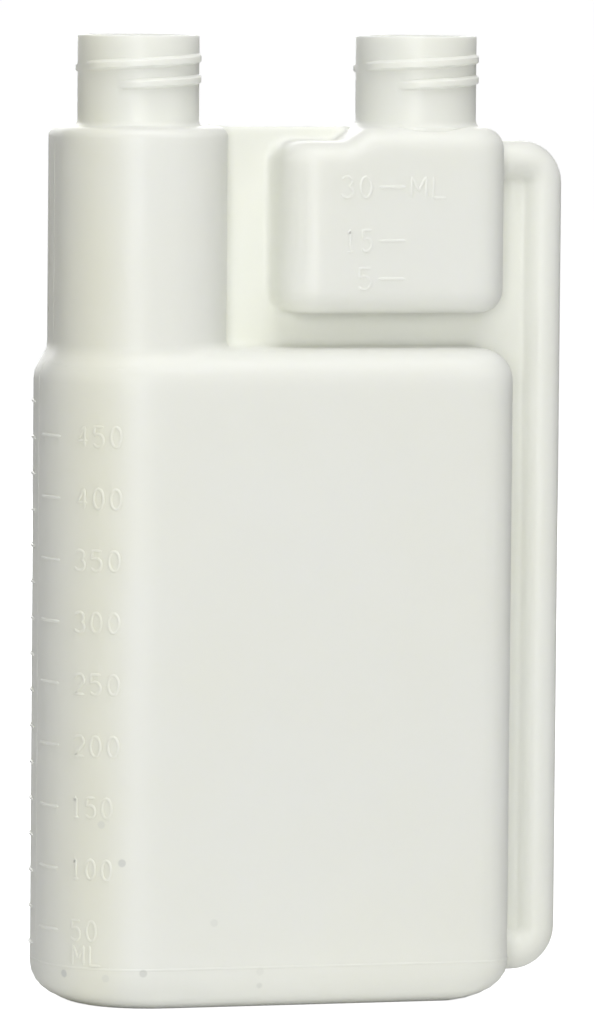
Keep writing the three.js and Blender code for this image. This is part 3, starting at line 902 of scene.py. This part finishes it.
# ---- Milky plastic ----
SKIN_COLOUR = (0.86, 0.87, 0.82, 1.0)
# A warmer colour, used both for random clouds in the plastic and for painted shade round the left rounding.
CLOUD_AND_EDGE_SHADE_COLOUR = (0.85, 0.85, 0.74, 1.0)
# Grey of the round spots of painted shade, and their size.
DUST_SHADE_COLOUR = (0.70, 0.71, 0.67, 1.0)
DUST_SHADE_RADIUS = 0.00085
# Painted shade: where the warm, slightly darker tint of the shaded left rounding lies, how far it reaches
# and how strong it is.
EDGE_SHADE_MIDDLE_X = -0.0485
EDGE_SHADE_REACH = 0.0095
EDGE_SHADE_SHARE = 0.75
CLOUD_SHARE = 0.25
CLOUD_SCALE = 28
GRAIN_SCALE = 2600
WAVE_SCALE = 45
SCATTER_DEPTH = 0.0009
ROUGH_LEAST = 0.32
ROUGH_MOST = 0.44
# Round spots of painted shade, standing in for small dust shadows, not specks in the plastic: side, length
# along, height and strength.
DUST_SHADE_SPOTS = (
    ("left", 0.0108, 0.0074, 1.0), ("left", 0.0286, 0.0082, 0.8), ("left", 0.0241, 0.0307, 0.9),
    ("left", 0.0208, 0.0070, 0.35), ("left", 0.0197, 0.0384, 0.4),
    ("front", -0.0140, 0.0049, 0.55), ("front", -0.0140, 0.0080, 0.25), ("front", -0.0238, 0.0182, 0.3),
)


def dust_shade_place(side, along, height):
    """Middle of a round spot of painted shade on the skin, on the left rounding or on the flat front."""
    if side == "left":
        return on_left(np.array([along]), np.array([height]), -1)[0][0]
    return np.array([along, -BODY_DEPTH / 2, height])


def milky_plastic():
    """Satin, slightly see-through plastic. Light is scattered under its skin. The colour varies
    in broad soft clouds. Round the left edge it is painted warmer and a little darker, as painted
    shade for the yellowish shade of that rounding. A few round grey spots are painted shade too,
    standing in for small dust shadows, not specks in the plastic. A fine grain and a slow
    waviness of the mould give the bump."""
    plastic = bpy.data.materials.new("milky_plastic")
    plastic.use_nodes = True
    tree = plastic.node_tree
    shader = tree.nodes["Principled BSDF"]
    shader.inputs["Specular IOR Level"].default_value = 0.3
    shader.inputs["Subsurface Weight"].default_value = 1.0
    shader.inputs["Subsurface Radius"].default_value = (1.0, 1.0, 0.95)
    shader.inputs["Subsurface Scale"].default_value = SCATTER_DEPTH
    place = tree.nodes.new("ShaderNodeTexCoord")
    clouds = tree.nodes.new("ShaderNodeTexNoise")
    clouds.inputs["Scale"].default_value = CLOUD_SCALE
    clouds.inputs["Detail"].default_value = 2
    tree.links.new(place.outputs["Object"], clouds.inputs["Vector"])
    axes = tree.nodes.new("ShaderNodeSeparateXYZ")
    tree.links.new(place.outputs["Object"], axes.inputs[0])
    off = tree.nodes.new("ShaderNodeMath")
    off.operation = "SUBTRACT"
    off.inputs[1].default_value = EDGE_SHADE_MIDDLE_X
    tree.links.new(axes.outputs["X"], off.inputs[0])
    away = tree.nodes.new("ShaderNodeMath")
    away.operation = "ABSOLUTE"
    tree.links.new(off.outputs[0], away.inputs[0])
    # Painted shade: the colour turns warmer and a little darker round the left rounding, standing in for the
    # yellowish shade that falls there.
    painted_edge_shade = tree.nodes.new("ShaderNodeMapRange")
    painted_edge_shade.interpolation_type = "SMOOTHSTEP"
    painted_edge_shade.inputs["From Min"].default_value = EDGE_SHADE_REACH
    painted_edge_shade.inputs["From Max"].default_value = 0.0
    painted_edge_shade.inputs["To Max"].default_value = EDGE_SHADE_SHARE
    tree.links.new(away.outputs[0], painted_edge_shade.inputs["Value"])
    cloudy = tree.nodes.new("ShaderNodeMapRange")
    cloudy.inputs["From Min"].default_value = 0.35
    cloudy.inputs["From Max"].default_value = 0.7
    cloudy.inputs["To Max"].default_value = CLOUD_SHARE
    tree.links.new(clouds.outputs["Fac"], cloudy.inputs["Value"])
    both = tree.nodes.new("ShaderNodeMath")
    both.operation = "ADD"
    both.use_clamp = True
    tree.links.new(painted_edge_shade.outputs[0], both.inputs[0])
    tree.links.new(cloudy.outputs[0], both.inputs[1])
    tint = tree.nodes.new("ShaderNodeMix")
    tint.data_type = "RGBA"
    tint.inputs[6].default_value = SKIN_COLOUR
    tint.inputs[7].default_value = CLOUD_AND_EDGE_SHADE_COLOUR
    tree.links.new(both.outputs[0], tint.inputs[0])
    last = None
    # Painted shade: each round grey spot darkens the colour as a small dust shadow would.
    for side, along, height, strength in DUST_SHADE_SPOTS:
        middle = dust_shade_place(side, along, height)
        reach = tree.nodes.new("ShaderNodeVectorMath")
        reach.operation = "DISTANCE"
        reach.inputs[1].default_value = middle
        tree.links.new(place.outputs["Object"], reach.inputs[0])
        spot = tree.nodes.new("ShaderNodeMapRange")
        spot.interpolation_type = "SMOOTHSTEP"
        spot.inputs["From Min"].default_value = DUST_SHADE_RADIUS * 1.15
        spot.inputs["From Max"].default_value = DUST_SHADE_RADIUS * 0.7
        spot.inputs["To Max"].default_value = strength
        tree.links.new(reach.outputs["Value"], spot.inputs["Value"])
        if last is not None:
            darker = tree.nodes.new("ShaderNodeMath")
            darker.operation = "MAXIMUM"
            tree.links.new(last, darker.inputs[0])
            tree.links.new(spot.outputs[0], darker.inputs[1])
            last = darker.outputs[0]
        else:
            last = spot.outputs[0]
    dust_shaded = tree.nodes.new("ShaderNodeMix")
    dust_shaded.data_type = "RGBA"
    dust_shaded.inputs[7].default_value = DUST_SHADE_COLOUR
    tree.links.new(last, dust_shaded.inputs[0])
    tree.links.new(tint.outputs[2], dust_shaded.inputs[6])
    tree.links.new(dust_shaded.outputs[2], shader.inputs["Base Color"])
    grain = tree.nodes.new("ShaderNodeTexNoise")
    grain.inputs["Scale"].default_value = GRAIN_SCALE
    grain.inputs["Detail"].default_value = 2
    tree.links.new(place.outputs["Object"], grain.inputs["Vector"])
    satin = tree.nodes.new("ShaderNodeMapRange")
    satin.inputs["To Min"].default_value = ROUGH_LEAST
    satin.inputs["To Max"].default_value = ROUGH_MOST
    tree.links.new(grain.outputs["Fac"], satin.inputs["Value"])
    tree.links.new(satin.outputs[0], shader.inputs["Roughness"])
    waves = tree.nodes.new("ShaderNodeTexNoise")
    waves.inputs["Scale"].default_value = WAVE_SCALE
    waves.inputs["Detail"].default_value = 1
    tree.links.new(place.outputs["Object"], waves.inputs["Vector"])
    slow = tree.nodes.new("ShaderNodeBump")
    slow.inputs["Strength"].default_value = 0.25
    slow.inputs["Distance"].default_value = 0.0006
    tree.links.new(waves.outputs["Fac"], slow.inputs["Height"])
    fine = tree.nodes.new("ShaderNodeBump")
    fine.inputs["Strength"].default_value = 0.12
    fine.inputs["Distance"].default_value = 0.00004
    tree.links.new(grain.outputs["Fac"], fine.inputs["Height"])
    tree.links.new(slow.outputs[0], fine.inputs["Normal"])
    tree.links.new(fine.outputs[0], shader.inputs["Normal"])
    return plastic


bottle_skin.data.materials.clear()
bottle_skin.data.materials.append(milky_plastic())

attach(bottle_skin, "root")
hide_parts("bottle")

bpy.context.scene.view_settings.view_transform = "Standard"

# ---- Camera, fitted to the photograph ----
CAMERA_TURN = math.radians(16.234)
CAMERA_DISTANCE = 1.7628
CAMERA_HEIGHT = 0.22333
CAMERA_ROLL = 0.00844
CAMERA_AIM_LEFT = 0.000234
CAMERA_AIM_DOWN = 0.06969
FOCAL_PIXELS = 8567.0
IMAGE_HEIGHT = 1024.0
SENSOR_HEIGHT = 36.0
camera_data = bpy.data.cameras.new("camera")
camera = bpy.data.objects.new("camera", camera_data)
bpy.context.scene.collection.objects.link(camera)
camera.location = (
    -CAMERA_DISTANCE * math.sin(CAMERA_TURN), -CAMERA_DISTANCE * math.cos(CAMERA_TURN), CAMERA_HEIGHT)
turned = Matrix.Rotation(CAMERA_AIM_LEFT - CAMERA_TURN, 3, "Z")
turned = turned @ Matrix.Rotation(math.pi / 2 - CAMERA_AIM_DOWN, 3, "X")
camera.rotation_euler = (turned @ Matrix.Rotation(CAMERA_ROLL, 3, "Z")).to_euler()
camera_data.sensor_fit = "VERTICAL"
camera_data.sensor_height = SENSOR_HEIGHT
camera_data.lens = SENSOR_HEIGHT * FOCAL_PIXELS / IMAGE_HEIGHT
camera_data.clip_end = 100
bpy.context.scene.camera = camera

# ---- Floor, lamps and world ----
FLOOR_REACH = 60
FLOOR_COLOUR = (0.9, 0.9, 0.9, 1)
FLOOR_GLOW = 0.9
WORLD_SOFT = (0.12, 0.12, 0.12, 1)
WORLD_WHITE = (1, 1, 1, 1)
LAMP_TARGET = (0, 0, 0.1)
floor_mesh = bpy.data.meshes.new("floor")
floor_corners = [(-FLOOR_REACH, -FLOOR_REACH, 0), (FLOOR_REACH, -FLOOR_REACH, 0)]
floor_corners += [(FLOOR_REACH, FLOOR_REACH, 0), (-FLOOR_REACH, FLOOR_REACH, 0)]
floor_mesh.from_pydata(floor_corners, [], [(0, 1, 2, 3)])
floor = bpy.data.objects.new("floor", floor_mesh)
bpy.context.scene.collection.objects.link(floor)
pale = bpy.data.materials.new("pale_floor")
pale.use_nodes = True
nodes = pale.node_tree.nodes
links = pale.node_tree.links
nodes.clear()
diffuse = nodes.new("ShaderNodeBsdfDiffuse")
diffuse.inputs["Color"].default_value = FLOOR_COLOUR
glow = nodes.new("ShaderNodeEmission")
rays = nodes.new("ShaderNodeLightPath")
join = nodes.new("ShaderNodeAddShader")
out = nodes.new("ShaderNodeOutputMaterial")
lift = nodes.new("ShaderNodeMath")
lift.operation = "MULTIPLY"
lift.inputs[1].default_value = FLOOR_GLOW
links.new(rays.outputs["Is Camera Ray"], lift.inputs[0])
links.new(lift.outputs[0], glow.inputs["Strength"])
links.new(diffuse.outputs[0], join.inputs[0])
links.new(glow.outputs[0], join.inputs[1])
links.new(join.outputs[0], out.inputs["Surface"])
floor_mesh.materials.append(pale)

world = bpy.data.worlds.new("studio")
bpy.context.scene.world = world
world.use_nodes = True
nodes = world.node_tree.nodes
links = world.node_tree.links
nodes.clear()
rays = nodes.new("ShaderNodeLightPath")
soft = nodes.new("ShaderNodeBackground")
soft.inputs["Color"].default_value = WORLD_SOFT
white = nodes.new("ShaderNodeBackground")
white.inputs["Color"].default_value = WORLD_WHITE
first = nodes.new("ShaderNodeMath")
first.operation = "MAXIMUM"
second = nodes.new("ShaderNodeMath")
second.operation = "MAXIMUM"
mix = nodes.new("ShaderNodeMixShader")
out = nodes.new("ShaderNodeOutputWorld")
links.new(rays.outputs["Is Camera Ray"], first.inputs[0])
links.new(rays.outputs["Is Glossy Ray"], first.inputs[1])
links.new(first.outputs[0], second.inputs[0])
links.new(rays.outputs["Is Transmission Ray"], second.inputs[1])
links.new(second.outputs[0], mix.inputs["Fac"])
links.new(soft.outputs[0], mix.inputs[1])
links.new(white.outputs[0], mix.inputs[2])
links.new(mix.outputs[0], out.inputs["Surface"])


def lamp(name, place, size, power):
    """A square lamp that faces the middle of the bottle."""
    light = bpy.data.lights.new(name, "AREA")
    light.shape = "SQUARE"
    light.size = size
    light.energy = power
    holder = bpy.data.objects.new(name, light)
    bpy.context.scene.collection.objects.link(holder)
    holder.location = place
    aim = Vector(LAMP_TARGET) - Vector(place)
    holder.rotation_euler = aim.to_track_quat("-Z", "Y").to_euler()


lamp("top", (0.0, -0.45, 1.15), 0.8, 7.5)
lamp("front", (-0.6, -2.0, 0.35), 0.7, 17)
lamp("back", (0.1, 1.3, 0.6), 0.9, 6.5)
